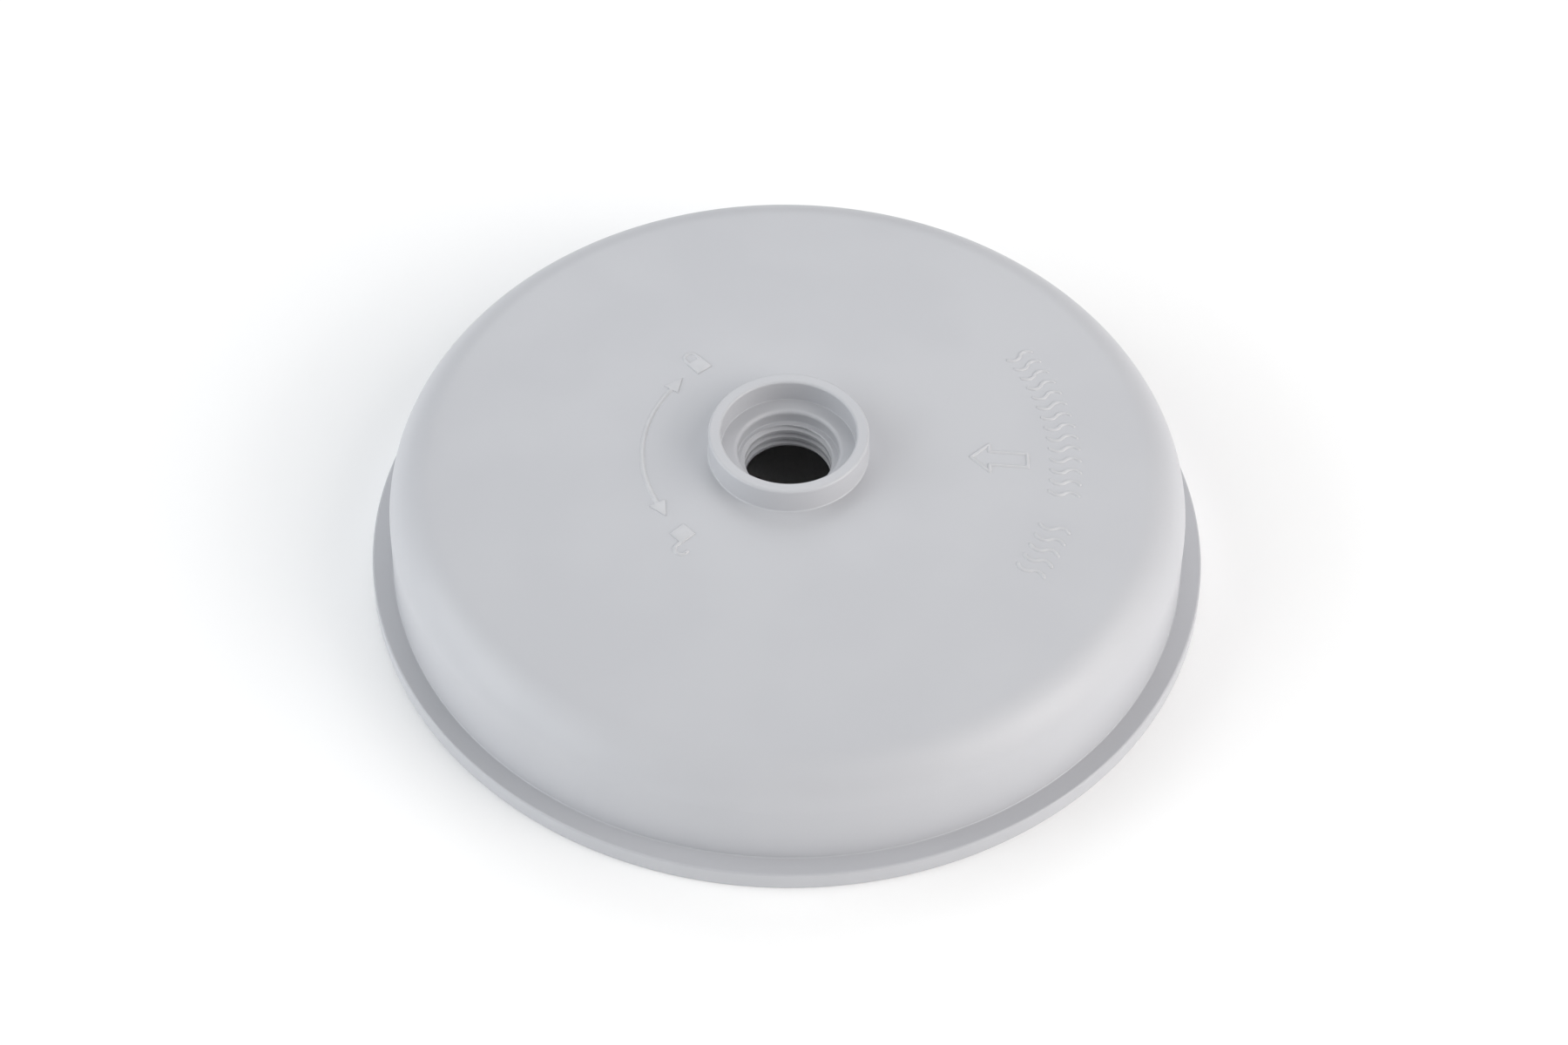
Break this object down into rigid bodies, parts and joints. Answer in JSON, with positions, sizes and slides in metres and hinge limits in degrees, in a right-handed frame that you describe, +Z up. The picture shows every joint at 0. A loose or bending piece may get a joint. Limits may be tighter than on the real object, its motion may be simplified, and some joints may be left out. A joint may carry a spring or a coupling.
{
  "type": "filter housing cover",
  "caption": "Low dome cover that closes a filter housing, with a thin foot flange, a raised collar round a threaded port, raised direction marks and a seal ring below.",
  "frame": {"origin": "middle of the flange's flat underside", "axes": "+Z up along the dome's and the port's axis, +X towards the raised straight arrow"},
  "size_m": [0.15, 0.15, 0.0332],
  "materials": {
    "cover_plastic": "fine matte moulded light grey",
    "seal_rubber": "matte black rubber"
  },
  "bodies": {
    "root": {"cover": "cover_plastic", "rim_seal": "seal_rubber"}
  },
  "joints": []
}
